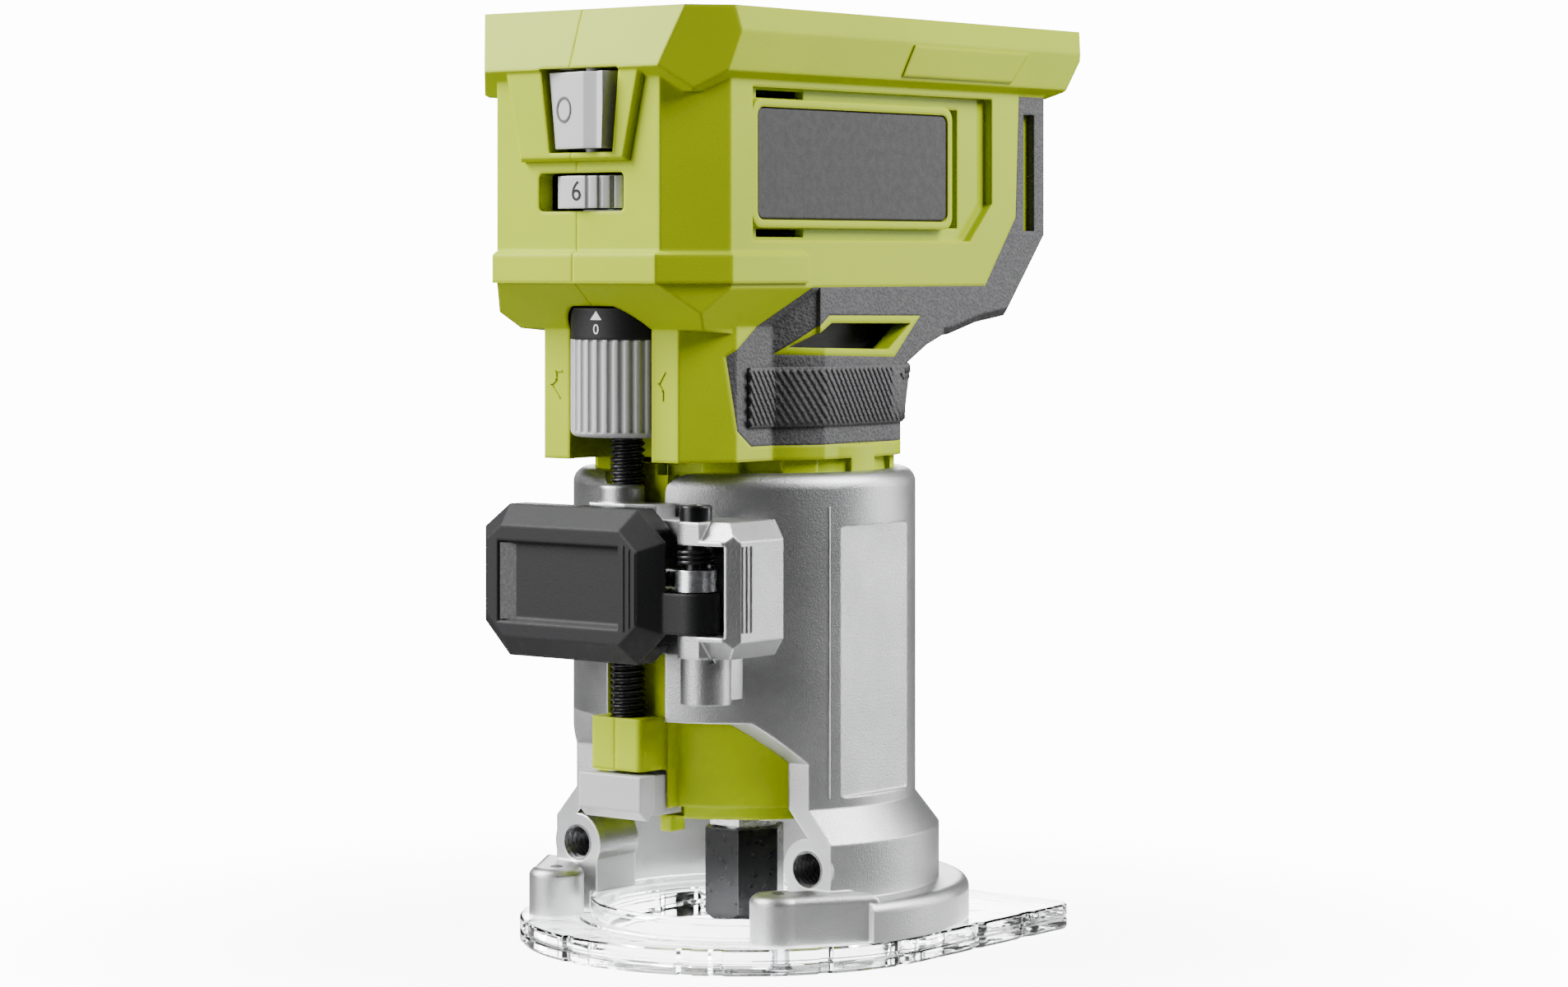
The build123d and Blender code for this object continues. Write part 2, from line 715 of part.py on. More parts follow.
with BuildPart() as apron:
    with BuildSketch(front_plane(head_front - 3)):
        apron_foot = button_bottom - 2.8
        Polygon(
            (-20.5, rim_bottom + 3), (20.5, rim_bottom + 3), (15.5, apron_foot),
            (-15.5, apron_foot), align=None,
        )
    extrude(amount=5)
    chamfer(apron.faces().sort_by(Axis.Y)[0].edges(), 0.8)

with BuildPart() as barrel:
    with BuildSketch(Plane.XY.offset(barrel_bottom + 3)):
        Circle(body_radius)
        # key that keeps the barrel from turning in the slit
        with Locations((0, -body_radius + 2)):
            Rectangle(2 * (slit_half_width - part_gap), 9.4)
    extrude(amount=neck_bottom - barrel_bottom)
    with BuildSketch(Plane.XY.offset(barrel_bottom)):
        Circle(body_radius - 2.5)
    extrude(amount=4)
    # block that holds the foot of the depth screw
    with BuildSketch(Plane.XY.offset(block_bottom)):
        with Locations((0, -screw_front + 4)):
            RectangleRounded(2 * slit_half_width - 2, 17, 1.5)
    extrude(amount=block_top - block_bottom)
    with BuildSketch(Plane.XY.offset(barrel_bottom - 3)):
        with Locations((4, -body_radius + 4)):
            Rectangle(3, 5)
    extrude(amount=6)

handle = handle_form(0, edge_break)
outer = handle + rim.part + band.part + apron.part + barrel.part
under_grip = handle_form(skin + seat_gap)


# ---------------------------------------------------------------- motor unit: cavity and cuts
bolt_length = 8.5  # right of the parting line
bolt_places = [  # distance ahead of the axis, height
    (-head_back + 14.5, band_bottom + 22.6),
    (head_front - 15.4, band_bottom + 4.6),
    (-20.0, neck_bottom + 14),
    (-20.0, lock_z + 6.5),
    (20.0, lock_z + 6.5),
]

with BuildPart() as knob_pocket_wall:
    with BuildSketch(Plane.XY.offset(neck_bottom)):
        with Locations((0, -screw_front)):
            Circle(knob_radius + 0.6 + 2.6)
    extrude(amount=ring_top + 8 - neck_bottom)

with BuildPart() as socket_box:
    with BuildSketch(Plane.XY.offset(socket_floor - socket_wall)):
        with Locations((0, (socket_back - socket_front) / 2)):
            Rectangle(2 * (socket_half_width + socket_wall), socket_front + socket_back + 2 * socket_wall)
    extrude(amount=head_deck - socket_floor + socket_wall)

with BuildPart() as bearing_housings:
    with BuildSketch(Plane.XY.offset(barrel_bottom)):
        Circle(bearing_radius + 3)
    extrude(amount=lower_bearing_z + bearing_height - barrel_bottom)
    with BuildSketch(Plane.XY.offset(upper_bearing_z - 2)):
        Rectangle(2 * body_radius + 2, 12)
        Circle(upper_bearing_radius + 3)
    extrude(amount=upper_bearing_height + 4)

with BuildPart() as screw_bosses:
    with BuildSketch(Plane.YZ):
        with Locations(*[(-ahead, height) for ahead, height in bolt_places]):
            Circle(3.6)
    extrude(amount=60, both=True)

with BuildPart() as barrel_cavity:
    with BuildSketch(Plane.XY.offset(barrel_bottom + 5)):
        Circle(body_radius - housing_wall)
    extrude(amount=neck_bottom - barrel_bottom + 5)

cavity = (handle_form(housing_wall + skin - 0.4) + barrel_cavity.part) - knob_pocket_wall.part
cavity = cavity - socket_box.part - bearing_housings.part - screw_bosses.part

with BuildPart() as openings:
    # pocket of the depth knob and its journal
    with BuildSketch(Plane.XY.offset(neck_bottom - 1)):
        with Locations((0, -screw_front)):
            Circle(knob_radius + 0.6)
    extrude(amount=ring_top + 0.5 - neck_bottom + 1)
    with BuildSketch(Plane.XY.offset(ring_top)):
        with Locations((0, -screw_front)):
            Circle(screw_radius - 1 + running_gap)
    extrude(amount=4.5)
    with BuildSketch(Plane.XY.offset(screw_bottom - 0.3)):
        with Locations((0, -screw_front)):
            Circle(screw_radius + running_gap)
    extrude(amount=neck_bottom - screw_bottom)
    # battery socket
    with BuildSketch(Plane.XY.offset(socket_floor)):
        with Locations((0, (socket_back - socket_front) / 2)):
            RectangleRounded(2 * socket_half_width, socket_front + socket_back, 3)
    extrude(amount=60)
    # spindle and bearings
    with BuildSketch(Plane.XY.offset(barrel_bottom - 1)):
        Circle(shaft_radius + 3)
    extrude(amount=20)
    with BuildSketch(Plane.XY.offset(lower_bearing_z)):
        Circle(bearing_radius + seat_gap)
    extrude(amount=bearing_height + 1)
    with BuildSketch(Plane.XY.offset(upper_bearing_z)):
        Circle(upper_bearing_radius + seat_gap)
    extrude(amount=upper_bearing_height)
    with BuildSketch(Plane.XY.offset(upper_bearing_z - 3)):
        Circle(upper_shaft_radius + 2)
    extrude(amount=upper_bearing_height + 6)
    # lock button: head behind the block, stem to the spindle
    with BuildSketch(front_plane(shaft_radius)):
        with Locations((0, lock_z)):
            Rectangle(8.6, 4.6)
    extrude(amount=50)
    with BuildSketch(front_plane(body_radius - 6)):
        with Locations((0, lock_z)):
            Rectangle(2 * lock_half_width - 2.4, 11)
    extrude(amount=20)
    # castellated neck
    with BuildSketch(Plane.XY.offset(casting_top - 0.5)):
        with Locations((0, 0)):
            with PolarLocations(body_radius + 1, 12, start_angle=15):
                Rectangle(5, 9.5)
    extrude(amount=neck_bottom - casting_top + 0.5)

badge_centre = ((badge_back - badge_front) / 2, (badge_bottom + badge_top) / 2)
window_outline = [
    (10.7, neck_top + 1.3), (-19.4, neck_top + 0.9), (-10.8, neck_top - 5), (21.2, neck_top - 4.1),
]
lip_outline = [
    (11.6, neck_top + 3), (-23.1, neck_top + 2.6), (-13.0, neck_top - 6.8), (24.1, neck_top - 5.7),
]
with BuildPart() as window_lip:
    with BuildSketch(Plane.YZ.offset(20)):
        side_outline(lip_outline)
    extrude(amount=30)
with BuildPart() as rear_slot:
    with BuildSketch(Plane.YZ.offset(20)):
        with Locations((head_back - 8.4, (rim_bottom + band_bottom + 6.5) / 2)):
            Rectangle(4.4, rim_bottom - band_bottom - 18)
    extrude(amount=30)

with BuildPart() as side_pocket:
    # shallow pocket round the badge, on the right side; the frame of the badge stays proud in it
    with BuildSketch(Plane.YZ.offset(head_half_width - 2.2)):
        side_outline([
            (badge_front + 1.8, badge_top + 4.4), (-badge_back - 18, badge_top + 4.4),
            (-badge_back - 18, badge_bottom + 4.4), (-badge_back - 9, badge_bottom - 4.6),
            (badge_front + 1.8, badge_bottom - 4.6),
        ])
        with Locations(badge_centre):
            RectangleRounded(
                badge_length + 3.6, badge_top - badge_bottom + 3.6, 3, mode=Mode.SUBTRACT
            )
    extrude(amount=10)
    # seat of the badge
    with BuildSketch(Plane.YZ.offset(head_half_width - badge_thickness)):
        with Locations(badge_centre):
            RectangleRounded(badge_length + 0.1, badge_top - badge_bottom + 0.1, 2)
    extrude(amount=10)
    # air slots: two above and below the badge, one round its rear end, one in the grip
    with BuildSketch(Plane.YZ.offset(head_half_width - 12)):
        with Locations((-badge_front + 10.5, badge_top + 3), (-badge_front + 10.5, badge_bottom - 3)):
            Rectangle(17, 1.8)
        with Locations((badge_back + 4.6, badge_centre[1])):
            Rectangle(4.4, badge_top - badge_bottom + 3)
    extrude(amount=20)
    with BuildSketch(Plane.YZ.offset(20)):
        side_outline(window_outline)
    extrude(amount=30)

with BuildPart() as front_cuts:
    # rocker opening
    with BuildSketch(front_plane(head_front - 8)):
        Polygon(
            (-9.0, button_top + 0.9), (13.9, button_top + 0.9), (12.1, button_bottom - 0.9),
            (-6.4, button_bottom - 0.9), align=None,
        )
    extrude(amount=20)
    with BuildSketch(Plane.XY.offset(button_bottom - 2.2)):
        with Locations((rocker_x, -rocker_front)):
            Circle(rocker_pin + running_gap)
    extrude(amount=button_top - button_bottom + 4.4)
    # dial slot
    with BuildSketch(front_plane(head_front - 10)):
        with Locations((dial_x - 0.2, dial_z)):
            RectangleRounded(25.0, dial_height + 1.4, 1.2)
    extrude(amount=20)

side_cuts = side_pocket.part + mirror(side_pocket.part, about=Plane.YZ)
lips = window_lip.part + mirror(window_lip.part, about=Plane.YZ)
rubber_bed = (handle_form(-0.5) & grip_region()) - lips - under_grip
housing = (outer - cavity - openings.part - front_cuts.part) - rubber_bed - side_cuts

with BuildPart() as bolt_holes:
    with BuildSketch(Plane.YZ.offset(-22)):
        with Locations(*[(-ahead, height) for ahead, height in bolt_places]):
            Circle(1.6)
    extrude(amount=22 + bolt_length)
    with BuildSketch(Plane.YZ.offset(-22)):
        with Locations(*[(-ahead, height) for ahead, height in bolt_places]):
            Circle(3.0)
    extrude(amount=-40)
housing = housing - bolt_holes.part

joint_gap = 0.04  # parting line between the two halves
left_space = Pos(-100 - joint_gap, 0, 120) * Box(200, 300, 300)
right_space = Pos(100 + joint_gap, 0, 120) * Box(200, 300, 300)
housing_left = housing & left_space
housing_right = housing & right_space
save(housing_left, "housing_left")
save(housing_right, "housing_right")

grip = (handle & grip_region()) - handle_form(skin)
grip = grip - lips - rear_slot.part - mirror(rear_slot.part, about=Plane.YZ)
save(grip & left_space, "grip_left")
save(grip & right_space, "grip_right")


# ---------------------------------------------------------------- badges, housing bolts
with BuildPart() as badge_right:
    with BuildSketch(Plane.YZ.offset(head_half_width - badge_thickness + seat_gap)):
        with Locations(badge_centre):
            RectangleRounded(badge_length, badge_top - badge_bottom, 2)
    extrude(amount=badge_thickness - 0.3)
    chamfer(badge_right.faces().sort_by(Axis.X)[-1].edges(), 0.4)
save(badge_right.part, "badge_right")
save(mirror(badge_right.part, about=Plane.YZ), "badge_left")

with BuildPart() as housing_bolts:
    with BuildSketch(Plane.YZ.offset(-21.9)):
        with Locations(*[(-ahead, height) for ahead, height in bolt_places]):
            Circle(1.55)
    extrude(amount=21.5 + bolt_length)
    with BuildSketch(Plane.YZ.offset(-22.05)):
        with Locations(*[(-ahead, height) for ahead, height in bolt_places]):
            Circle(2.8)
    extrude(amount=-2.2)
save(housing_bolts.part, "housing_bolts")


# ---------------------------------------------------------------- rocker switch and speed dial
with BuildPart() as switch_rocker:
    with BuildSketch(Plane.XY.offset(button_bottom)):
        Polygon(
            (-7.8, -rocker_front + 6.5), (-7.8, -rocker_front - 2.8), (5.0, -rocker_front - 6.2),
            (8.2, -rocker_front - 5), (11.4, -rocker_front - 7), (12.2, -rocker_front - 5),
            (12.2, -rocker_front + 6.5), align=None,
        )
    extrude(amount=button_top - button_bottom)
    with BuildSketch(front_plane(rocker_front - 12)):
        Polygon(
            (-7.8, button_top), (12.2, button_top), (10.8, button_bottom), (-5.4, button_bottom), align=None
        )
    extrude(amount=30, mode=Mode.INTERSECT)
    with BuildSketch(Plane.XY.offset(button_bottom - 2)):
        with Locations((rocker_x, -rocker_front)):
            Circle(rocker_pin)
    extrude(amount=button_top - button_bottom + 4)
save(switch_rocker.part, "switch_rocker")

with BuildPart() as switch_body:
    with BuildSketch(Plane.XY.offset(button_bottom - 0.4)):
        with Locations((rocker_x, -rocker_front + 19)):
            Rectangle(24, 18)
    extrude(amount=button_top - button_bottom + 0.8)
save(switch_body.part, "switch_body")

with BuildPart() as speed_dial:
    with BuildSketch(Plane.XY.offset(dial_z - dial_height / 2)):
        with Locations((dial_x, -dial_centre)):
            Circle(dial_radius)
            with PolarLocations(dial_radius, 12, start_angle=-80, angular_range=150):
                Circle(0.5, mode=Mode.SUBTRACT)
            Circle(3 + running_gap, mode=Mode.SUBTRACT)
    extrude(amount=dial_height)
save(speed_dial.part, "speed_dial")

with BuildPart() as speed_control:
    with BuildSketch(Plane.XY.offset(dial_z - dial_height / 2 - 5)):
        with Locations((dial_x, -dial_centre + 8)):
            Rectangle(22, 26)
    extrude(amount=1.6)
    with BuildSketch(Plane.XY.offset(dial_z - dial_height / 2 - 3.4)):
        with Locations((dial_x, -dial_centre)):
            Rectangle(11, 11)
    extrude(amount=3.1)
    with BuildSketch(Plane.XY.offset(dial_z - dial_height / 2 - 0.3)):
        with Locations((dial_x, -dial_centre)):
            Circle(3)
    extrude(amount=dial_height + 0.6)
save(speed_control.part, "speed_control")


# ---------------------------------------------------------------- spindle lock
with BuildPart() as lock_button:
    lock_rear = casting_radius + lock_travel + part_gap
    with BuildSketch(front_plane(lock_rear)):
        with Locations((0, lock_z)):
            Rectangle(2 * lock_half_width, 10)
    extrude(amount=lock_front - lock_rear)
    chamfer(lock_button.edges().filter_by(Axis.X).group_by(Axis.Z)[0], 2.2)
    with BuildSketch(front_plane(body_radius - 3)):
        with Locations((0, lock_z)):
            Rectangle(2 * lock_half_width - 3.2, 9)
    extrude(amount=lock_rear - body_radius + 4)
    with BuildSketch(front_plane(shaft_radius + lock_travel + 1)):
        with Locations((0, lock_z)):
            Rectangle(8, 4)
    extrude(amount=body_radius - shaft_radius - lock_travel)
save(lock_button.part, "lock_button")

with BuildPart() as lock_spring:
    with BuildSketch(front_plane(body_radius - 5.5)):
        with Locations((0, lock_z + 2.5)):
            Rectangle(18, 5)
            Rectangle(8.6, 5, mode=Mode.SUBTRACT)
        with Locations((0, lock_z + 5.5)):
            Rectangle(18, 2)
    extrude(amount=0.5)
save(lock_spring.part, "lock_spring")


# ---------------------------------------------------------------- battery contacts and control board
with BuildPart() as terminal_block:
    with BuildSketch(Plane.XY.offset(socket_floor + seat_gap)):
        with Locations((0, (socket_back - socket_front) / 2 + 8)):
            Rectangle(26, 24)
    extrude(amount=5)
save(terminal_block.part, "terminal_block")

with BuildPart() as battery_contacts:
    with BuildSketch(Plane.XY.offset(socket_floor + seat_gap + 5)):
        with Locations((0, (socket_back - socket_front) / 2 + 8)):
            with GridLocations(7, 14, 3, 2):
                Rectangle(0.8, 8)
    extrude(amount=7)
save(battery_contacts.part, "battery_contacts")

with BuildPart() as control_board:
    with BuildSketch(Plane.XY.offset(head_deck - 12)):
        with Locations((0, -17.8)):
            Rectangle(50, 18)
    extrude(amount=1.6)
    with BuildSketch(Plane.XY.offset(head_deck - 22)):
        with Locations((-14, -18), (-2, -18), (12, -18)):
            Circle(4.5)
    extrude(amount=10)
save(control_board.part, "control_board")

lens_places = [(-20.0, -16.0), (20.0, -16.0), (-20.0, 16.0), (20.0, 16.0)]
with BuildPart() as led_lenses:
    with BuildSketch(Plane.XY.offset(barrel_bottom - 0.8)):
        with Locations(lens_places):
            Circle(3)
    extrude(amount=0.75)
save(led_lenses.part, "led_lenses")


# ---------------------------------------------------------------- motor
with BuildPart() as lower_bearing:
    with BuildSketch(Plane.XY.offset(lower_bearing_z)):
        Circle(bearing_radius)
        Circle(shaft_radius + seat_gap, mode=Mode.SUBTRACT)
    extrude(amount=bearing_height)
save(lower_bearing.part, "lower_bearing")

with BuildPart() as upper_bearing:
    with BuildSketch(Plane.XY.offset(upper_bearing_z)):
        Circle(upper_bearing_radius)
        Circle(upper_shaft_radius + seat_gap, mode=Mode.SUBTRACT)
    extrude(amount=upper_bearing_height)
save(upper_bearing.part, "upper_bearing")

with BuildPart() as motor_can:
    with BuildSketch(Plane.XY.offset(motor_bottom)):
        Circle(body_radius - housing_wall - seat_gap)
        Circle(body_radius - housing_wall - 3, mode=Mode.SUBTRACT)
    extrude(amount=motor_top - motor_bottom - 12)
save(motor_can.part, "motor_can")

with BuildPart() as magnets:
    with BuildSketch(Plane.XY.offset(motor_bottom + 6)):
        Circle(body_radius - housing_wall - 3 - seat_gap)
        Circle(body_radius - housing_wall - 8, mode=Mode.SUBTRACT)
        Rectangle(9, 80, mode=Mode.SUBTRACT)
    extrude(amount=motor_top - motor_bottom - 26)
save(magnets.part, "magnets")

with BuildPart() as brush_holder:
    with BuildSketch(Plane.XY.offset(motor_top - 11)):
        Circle(body_radius - housing_wall - seat_gap)
        Circle(13, mode=Mode.SUBTRACT)
    extrude(amount=3)
    with BuildSketch(Plane.XY.offset(motor_top - 8)):
        with Locations((17.5, 0), (-17.5, 0)):
            Rectangle(9, 7)
    extrude(amount=6)
save(brush_holder.part, "brush_holder")

with BuildPart() as armature:
    with BuildSketch(Plane.XY.offset(motor_bottom + 8)):
        Circle(body_radius - housing_wall - 8.6)
        Circle(shaft_radius + seat_gap, mode=Mode.SUBTRACT)
        with PolarLocations(body_radius - housing_wall - 9, 12):
            Rectangle(7, 2, mode=Mode.SUBTRACT)
    extrude(amount=30)
save(armature.part, "armature")

with BuildPart() as commutator:
    with BuildSketch(Plane.XY.offset(motor_top - 12)):
        Circle(12)
        Circle(shaft_radius - 2 + seat_gap, mode=Mode.SUBTRACT)
        with PolarLocations(12, 24):
            Rectangle(2, 0.6, mode=Mode.SUBTRACT)
    extrude(amount=14)
save(commutator.part, "commutator")

with BuildPart() as fan:
    with BuildSketch(Plane.XY.offset(lower_bearing_z + bearing_height + 2)):
        Circle(29)
        Circle(shaft_radius + seat_gap, mode=Mode.SUBTRACT)
    extrude(amount=1.5)
    with BuildSketch(Plane.XY.offset(lower_bearing_z + bearing_height + 3)):
        with PolarLocations(20, 13):
            Rectangle(15, 1.2, rotation=25)
        Circle(9)
        Circle(shaft_radius + seat_gap, mode=Mode.SUBTRACT)
    extrude(amount=7)
save(fan.part, "fan")

nut_seat = collet_nut_top - 8
with BuildPart() as spindle:
    with BuildSketch(Plane.XZ):
        Polygon(
            (0, nut_seat), (shaft_radius, nut_seat), (shaft_radius, motor_top - 18),
            (upper_shaft_radius, motor_top - 18),
            (upper_shaft_radius, upper_bearing_z + upper_bearing_height),
            (0, upper_bearing_z + upper_bearing_height), align=None,
        )
    revolve(axis=Axis.Z)
    with BuildSketch(Plane.XY.offset(nut_seat)):
        Circle(4.7)
    extrude(amount=14, mode=Mode.SUBTRACT)
    with BuildSketch(Plane.XY.offset(collet_nut_top + 0.5)):
        RegularPolygon(7.5, 6, major_radius=False)
        Circle(shaft_radius - 0.5, mode=Mode.SUBTRACT)
    extrude(amount=3)
    # flats for the spindle lock
    with BuildSketch(Plane.XY.offset(lock_z - 3)):
        Circle(shaft_radius + 1)
        RegularPolygon(shaft_radius - 0.8, 6, major_radius=False, mode=Mode.SUBTRACT)
    extrude(amount=6, mode=Mode.SUBTRACT)
save(spindle.part, "spindle")

with BuildPart() as collet_nut:
    with BuildSketch(Plane.XY.offset(collet_nut_bottom)):
        RegularPolygon(nut_across_flats / 2, 6, major_radius=False)
        Circle(5.2, mode=Mode.SUBTRACT)
    extrude(amount=collet_nut_top - collet_nut_bottom)
    with BuildSketch(Plane.XZ):
        Polygon(
            (0, collet_nut_bottom), (nut_across_flats / 2 - 0.6, collet_nut_bottom),
            (11, collet_nut_bottom + 3), (11, collet_nut_top), (0, collet_nut_top), align=None,
        )
    revolve(axis=Axis.Z, mode=Mode.INTERSECT)
    with BuildSketch(Plane.XY.offset(nut_seat - 0.5)):
        Circle(shaft_radius + seat_gap)
    extrude(amount=20, mode=Mode.SUBTRACT)
save(collet_nut.part, "collet_nut")

with BuildPart() as collet:
    with BuildSketch(Plane.XY.offset(collet_nut_bottom + 1)):
        Circle(4.65)
    extrude(amount=nut_seat + 12 - collet_nut_bottom)
    with BuildSketch(Plane.XY.offset(collet_nut_bottom + 1)):
        Circle(collet_bore)
    extrude(amount=40, mode=Mode.SUBTRACT)
    with BuildSketch(Plane.XY.offset(collet_nut_bottom + 1)):
        for turn in range(2):
            Rectangle(12, 0.6, rotation=90 * turn)
    extrude(amount=12, mode=Mode.SUBTRACT)
save(collet.part, "collet")
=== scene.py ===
import math

import bmesh
import bpy
from mathutils import Matrix, Vector


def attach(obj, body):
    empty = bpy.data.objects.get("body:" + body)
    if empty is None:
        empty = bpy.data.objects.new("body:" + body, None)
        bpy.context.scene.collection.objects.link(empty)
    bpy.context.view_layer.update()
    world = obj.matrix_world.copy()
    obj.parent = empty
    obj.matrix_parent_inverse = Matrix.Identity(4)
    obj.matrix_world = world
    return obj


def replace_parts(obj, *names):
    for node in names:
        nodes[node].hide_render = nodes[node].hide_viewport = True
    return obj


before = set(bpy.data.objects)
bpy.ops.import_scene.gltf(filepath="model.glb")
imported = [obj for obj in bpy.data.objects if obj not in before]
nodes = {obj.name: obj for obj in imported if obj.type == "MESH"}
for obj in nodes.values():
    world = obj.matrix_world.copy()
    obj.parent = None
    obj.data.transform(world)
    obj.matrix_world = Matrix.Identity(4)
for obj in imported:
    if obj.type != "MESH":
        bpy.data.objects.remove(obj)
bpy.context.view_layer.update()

# ------------------------------------------------------------------ camera, light and table
# A long lens at table height looks across the tool from its front right corner. The horizon stays
# level, so the upright edges of the casting stay parallel, and the lens is shifted to frame it.
camera_data = bpy.data.cameras.new("camera")
camera_data.sensor_width = 36.0
camera_data.lens = 92.0
camera_data.shift_y = -0.147
camera = bpy.data.objects.new("camera", camera_data)
camera.location = (0.5886, -0.7304, 0.1579)
camera.rotation_euler = (math.radians(90), 0, math.radians(38.3))
bpy.context.scene.collection.objects.link(camera)
bpy.context.scene.camera = camera

# The backdrop is near white where it is looked at, directly or through the clear plate, and dim as a
# light, so that the softboxes shape the surfaces.
BACKDROP_AS_LIGHT = 0.07
BACKDROP_AS_SEEN = 14.0
world = bpy.data.worlds.new("studio")
world.use_nodes = True
world.node_tree.nodes["Background"].inputs["Color"].default_value = (1.0, 1.0, 1.0, 1.0)
seen = world.node_tree.nodes.new("ShaderNodeLightPath")
plain = world.node_tree.nodes.new("ShaderNodeMath")
plain.operation = "MAXIMUM"
strength = world.node_tree.nodes.new("ShaderNodeMapRange")
strength.inputs["To Min"].default_value = BACKDROP_AS_LIGHT
strength.inputs["To Max"].default_value = BACKDROP_AS_SEEN
world.node_tree.links.new(seen.outputs["Is Camera Ray"], plain.inputs[0])
world.node_tree.links.new(seen.outputs["Is Transmission Ray"], plain.inputs[1])
world.node_tree.links.new(plain.outputs[0], strength.inputs["Value"])
world.node_tree.links.new(strength.outputs["Result"], world.node_tree.nodes["Background"].inputs["Strength"])
bpy.context.scene.world = world


def soft_light(name, place, aim, width, height, power):
    """A rectangular softbox at a place, turned to its aim."""
    data = bpy.data.lights.new(name, "AREA")
    data.shape = "RECTANGLE"
    data.size, data.size_y = width, height
    data.energy = power
    light = bpy.data.objects.new(name, data)
    light.location = place
    light.rotation_euler = (Vector(aim) - Vector(place)).to_track_quat("-Z", "Y").to_euler()
    bpy.context.scene.collection.objects.link(light)


soft_light("left_softbox", (-0.82, -0.69, 1.01), (0, 0, 0.11), 0.6, 0.8, 66.0)
soft_light("right_softbox", (0.86, 0.50, 0.95), (0, 0, 0.11), 0.6, 0.8, 40.0)
soft_light("front_strip", (-0.5, -1.15, 0.25), (0, 0, 0.11), 0.9, 0.7, 15.0)
soft_light("back_right_strip", (0.69, 0.98, 0.2), (0, 0, 0.11), 0.16, 0.7, 8.0)
soft_light("rear_strip", (-0.6, 0.8, 0.35), (0, 0, 0.1), 0.3, 0.7, 6.0)


class Shade:
    """A socket in a material's node tree. Sums, products and powers of sockets add Math nodes."""

    def __init__(self, tree, socket=None):
        self.tree = tree
        self.socket = socket

    def node(self, kind, settings=None, sockets=None, out=0):
        """Adds a node: its settings first, then the values or links of its sockets."""
        made = self.tree.nodes.new(kind)
        for name, value in (settings or {}).items():
            if name == "stops":
                ramp = made.color_ramp
                while len(ramp.elements) < len(value):
                    ramp.elements.new(0.5)
                for element, (place, colour) in zip(ramp.elements, value):
                    element.position = place
                    element.color = (*colour, 1.0)
            else:
                setattr(made, name, value)
        for name, value in (sockets or {}).items():
            socket = made.inputs[name]
            if isinstance(value, Shade):
                self.tree.links.new(value.socket, socket)
            else:
                socket.default_value = value
        return Shade(self.tree, made.outputs[out])

    def maths(self, operation, *values):
        return self.node("ShaderNodeMath", {"operation": operation}, dict(enumerate(values)))

    def __add__(self, other):
        return self.maths("ADD", self, other)

    def __radd__(self, other):
        return self.maths("ADD", other, self)

    def __sub__(self, other):
        return self.maths("SUBTRACT", self, other)

    def __rsub__(self, other):
        return self.maths("SUBTRACT", other, self)

    def __mul__(self, other):
        return self.maths("MULTIPLY", self, other)

    def __rmul__(self, other):
        return self.maths("MULTIPLY", other, self)

    def __pow__(self, other):
        return self.maths("POWER", self, other)

    def between(self, low, high):
        """0 below low, 1 above high, smooth from one to the other."""
        return self.node("ShaderNodeMapRange", {"interpolation_type": "SMOOTHSTEP"},
                         {"Value": self, "From Min": low, "From Max": high})

    def mix(self, first, second):
        """Colour that goes from first to second with this mask."""
        return self.node("ShaderNodeMix", {"data_type": "RGBA"}, {0: self, 6: first, 7: second}, out=2)


def finish_of(name, **uniform):
    """A new material, with values that are the same all over set on its shader. Returns the material,
    its shader's sockets and a Shade with the position on the piece in metres."""
    material = bpy.data.materials.new(name)
    material.use_nodes = True
    tree = material.node_tree
    shader = tree.nodes["Principled BSDF"]
    for key, value in uniform.items():
        shader.inputs[key.replace("_", " ").title().replace("Ior", "IOR")].default_value = value
    place = Shade(tree).node("ShaderNodeTexCoord", out="Object")
    return material, shader, place


def plug(shader, **links):
    """Links Shades to the shader's sockets."""
    for key, shade in links.items():
        socket = shader.inputs[key.replace("_", " ").title()]
        shade.tree.links.new(shade.socket, socket)


def noise(place, scale, detail=2.0, rough=0.5):
    return place.node("ShaderNodeTexNoise", None,
                      {"Vector": place, "Scale": scale, "Detail": detail, "Roughness": rough})


def rounded(place, radius):
    """Surface normal as if every sharp edge had this radius."""
    return place.node("ShaderNodeBevel", {"samples": 4}, {"Radius": radius})


def edge_mask(place, radius):
    """1 on outer and inner edges, 0 on flat stretches."""
    soft = place.node("ShaderNodeBevel", {"samples": 6}, {"Radius": radius})
    true_normal = place.node("ShaderNodeNewGeometry", out="Normal")
    same = place.node("ShaderNodeVectorMath", {"operation": "DOT_PRODUCT"},
                      {0: soft, 1: true_normal}, out="Value")
    return (1 - same).between(0.01, 0.25)


def bumped(height, depth, normal=None):
    """Normal from a height field; depth in metres."""
    sockets = {"Height": height, "Distance": depth, "Strength": 1.0}
    if normal:
        sockets["Normal"] = normal
    return height.node("ShaderNodeBump", None, sockets)


def dress(material, *names):
    """Puts a material on CAD nodes."""
    for name in names:
        nodes[name].data.materials.clear()
        nodes[name].data.materials.append(material)


